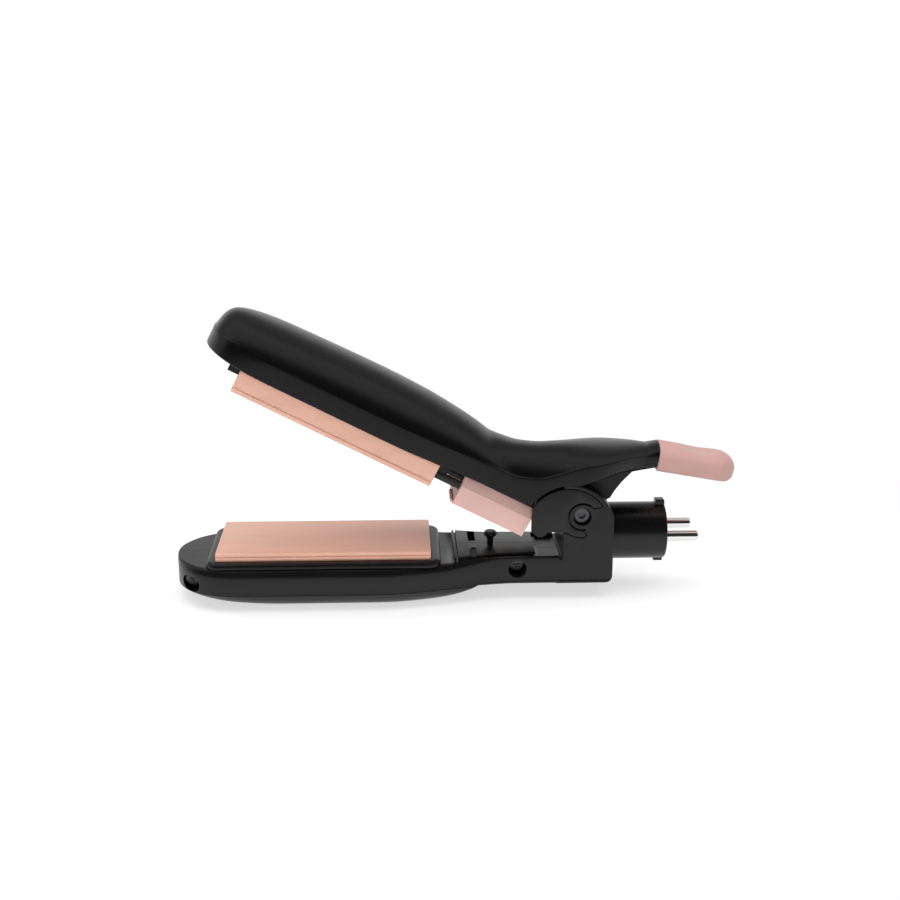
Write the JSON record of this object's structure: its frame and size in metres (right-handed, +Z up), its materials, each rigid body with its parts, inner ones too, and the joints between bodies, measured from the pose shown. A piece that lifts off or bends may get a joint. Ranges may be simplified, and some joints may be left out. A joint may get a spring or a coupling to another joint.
{
  "type": "hair waver head",
  "caption": "Plug-in jaw head of a heated hair styler: two hinged arms with coated plates, a floating upper plate, a lock slider, a thumb lever and a pinned spigot.",
  "frame": {"origin": "where the spigot's axis leaves the shoulder of the hinge block", "axes": "+X out along the spigot, away from the jaws; +Z up, from the fixed lower arm towards the upper arm; +Y to the side away from the casing screws' heads"},
  "size_m": [0.2383, 0.054, 0.1233],
  "materials": {
    "black_frame": "matte",
    "black_peg": "satin",
    "black_plastic": "satin",
    "black_screw": "blackened",
    "bright_pin": "polished",
    "carrier_plastic": "matte",
    "ceramic": "matte",
    "film": "film",
    "lead_sleeve": "matte",
    "nylon": "natural",
    "pink_grip": "soft touch",
    "pink_slider": "matte",
    "rose_plate": "satin",
    "spigot_plastic": "satin",
    "spring_steel": "plain",
    "tinned_brass": "tinned"
  },
  "bodies": {
    "lower_arm": {"lower_shell_near": "black_plastic", "lower_shell_far": "black_plastic", "lower_plate_tray": "black_plastic", "lower_heating_plate": "rose_plate", "lower_heater": "ceramic", "lower_insulation": "film", "lower_heater_clip": "spring_steel", "lower_thermal_fuse": "ceramic", "lower_leads": "lead_sleeve", "lock_peg": "black_peg", "hinge_cheek_near": "black_plastic", "hinge_cheek_far": "black_plastic", "hinge_screw": "black_screw", "casing_screws": "black_screw", "torsion_spring": "spring_steel", "spigot_body": "spigot_plastic", "contact_carrier": "carrier_plastic", "contact_pins": "bright_pin", "crimp_terminals": "tinned_brass"},
    "upper_arm": {"upper_cover": "black_plastic", "upper_frame": "black_frame", "thumb_grip": "pink_grip", "knuckle_bushes": "nylon", "cover_screws": "black_screw", "upper_leads": "lead_sleeve"},
    "carriage": {"upper_plate_carrier": "black_plastic", "upper_heating_plate": "rose_plate", "upper_heater": "ceramic", "upper_insulation": "film", "upper_heater_clip": "spring_steel", "upper_thermal_fuse": "ceramic", "cable_sleeve": "black_frame", "detent_spring": "spring_steel", "plate_springs": "spring_steel"},
    "slider": {"lock_slider": "pink_slider"}
  },
  "joints": [
    {"name": "arm_hinge", "type": "hinge", "parent": "lower_arm", "child": "upper_arm", "pos_m": [-0.0135, 0, 0.0117], "axis": [0, 1, 0], "range_deg": [-27.2, 0], "stiffness_Nm_per_rad": 0.4, "springref_deg": 22.92},
    {"name": "carriage_float", "type": "slide", "parent": "upper_arm", "child": "carriage", "axis": [0.4571, 0, 0.8894], "range_m": [0, 0.0029]},
    {"name": "lock_slide", "type": "slide", "parent": "carriage", "child": "slider", "axis": [0.8894, 0, -0.4571], "range_m": [0, 0.005]}
  ],
  "couplings": [
    {"joint": "carriage_float", "follows": "arm_hinge", "m_per_rad": -0.0061}
  ]
}
